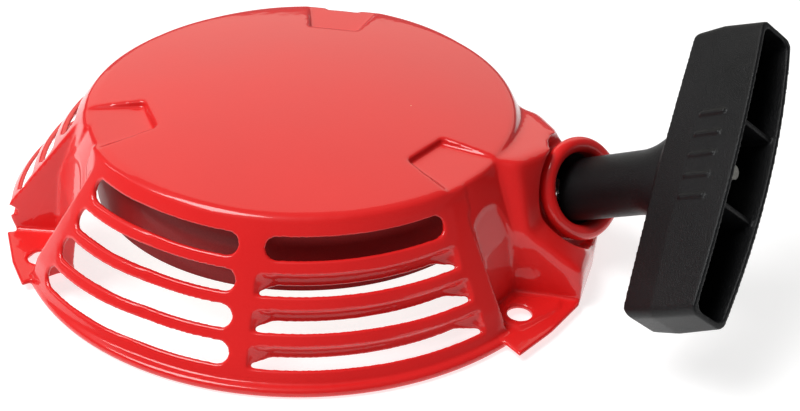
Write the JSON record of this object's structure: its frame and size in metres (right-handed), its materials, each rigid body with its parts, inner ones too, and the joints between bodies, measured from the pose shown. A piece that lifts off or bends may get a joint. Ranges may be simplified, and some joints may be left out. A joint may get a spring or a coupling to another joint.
{
  "type": "recoil starter",
  "caption": "Pull-cord starter for a small engine: slotted steel case, reel on a sprung post, ratchets, rope and T-shaped grip.",
  "frame": {"origin": "centre of the mounting bolt circle, in the plane of the undersides of the three mounting ears", "axes": "+Z along the reel's axis, up through the closed top; +Y towards one of the three ears; the rope leaves on the +X side"},
  "size_m": [0.2515, 0.2, 0.0919],
  "materials": {
    "painted_steel": "gloss red paint over pressed steel",
    "zinc_steel": "bright zinc plate",
    "spring_steel": "oiled blued spring steel",
    "ratchet_steel": "sintered steel",
    "reel_plastic": "moulded natural nylon",
    "guide_plastic": "moulded black nylon",
    "grip_plastic": "fine-grained black moulding",
    "rope": "braided polyester rope"
  },
  "bodies": {
    "case": {"starter_case": "painted_steel", "rope_outlet_collar": "painted_steel", "reel_housing": "painted_steel", "centre_post": "zinc_steel", "weld_spots": "painted_steel", "retaining_washer": "zinc_steel", "centre_screw": "zinc_steel", "rope_lead": "rope"},
    "reel": {"reel": "reel_plastic", "rope_winding": "rope", "reel_rope_knot": "rope", "return_spring": "spring_steel", "ratchet_pin_1": "zinc_steel", "ratchet_pin_2": "zinc_steel", "ratchet_spring_1": "spring_steel", "ratchet_spring_2": "spring_steel"},
    "guide": {"ratchet_guide": "guide_plastic", "friction_spring": "spring_steel"},
    "ratchet_1": {"ratchet_1": "ratchet_steel"},
    "ratchet_2": {"ratchet_2": "ratchet_steel"},
    "grip": {"grip": "grip_plastic", "grip_plate": "zinc_steel", "grip_rope_knot": "rope"}
  },
  "joints": [
    {"name": "reel_spin", "type": "hinge", "parent": "case", "child": "reel", "pos_m": [0, 0, 0.0215], "axis": [0, 0, 1], "range_deg": [-900, 0], "stiffness_Nm_per_rad": 0.05, "springref_deg": 171.89, "deforming": ["return_spring"]},
    {"name": "grip_pull", "type": "slide", "parent": "case", "child": "grip", "axis": [0.7018, -0.5006, 0.5068], "range_m": [0, 0.766], "deforming": ["rope_lead"]},
    {"name": "guide_lag", "type": "hinge", "parent": "reel", "child": "guide", "pos_m": [0, 0, 0.0098], "axis": [0, 0, 1], "range_deg": [0, 25]},
    {"name": "ratchet_1_swing", "type": "hinge", "parent": "reel", "child": "ratchet_1", "pos_m": [0.02161, 0.00787, 0.0145], "axis": [0, 0, 1], "range_deg": [0, 25], "deforming": ["ratchet_spring_1"]},
    {"name": "ratchet_2_swing", "type": "hinge", "parent": "reel", "child": "ratchet_2", "pos_m": [-0.02161, -0.00787, 0.0145], "axis": [0, 0, 1], "range_deg": [0, 25], "deforming": ["ratchet_spring_2"]}
  ],
  "couplings": [
    {"joint": "grip_pull", "follows": "reel_spin", "m_per_rad": -0.048701},
    {"joint": "ratchet_1_swing", "follows": "guide_lag", "ratio": 1},
    {"joint": "ratchet_2_swing", "follows": "guide_lag", "ratio": 1}
  ]
}
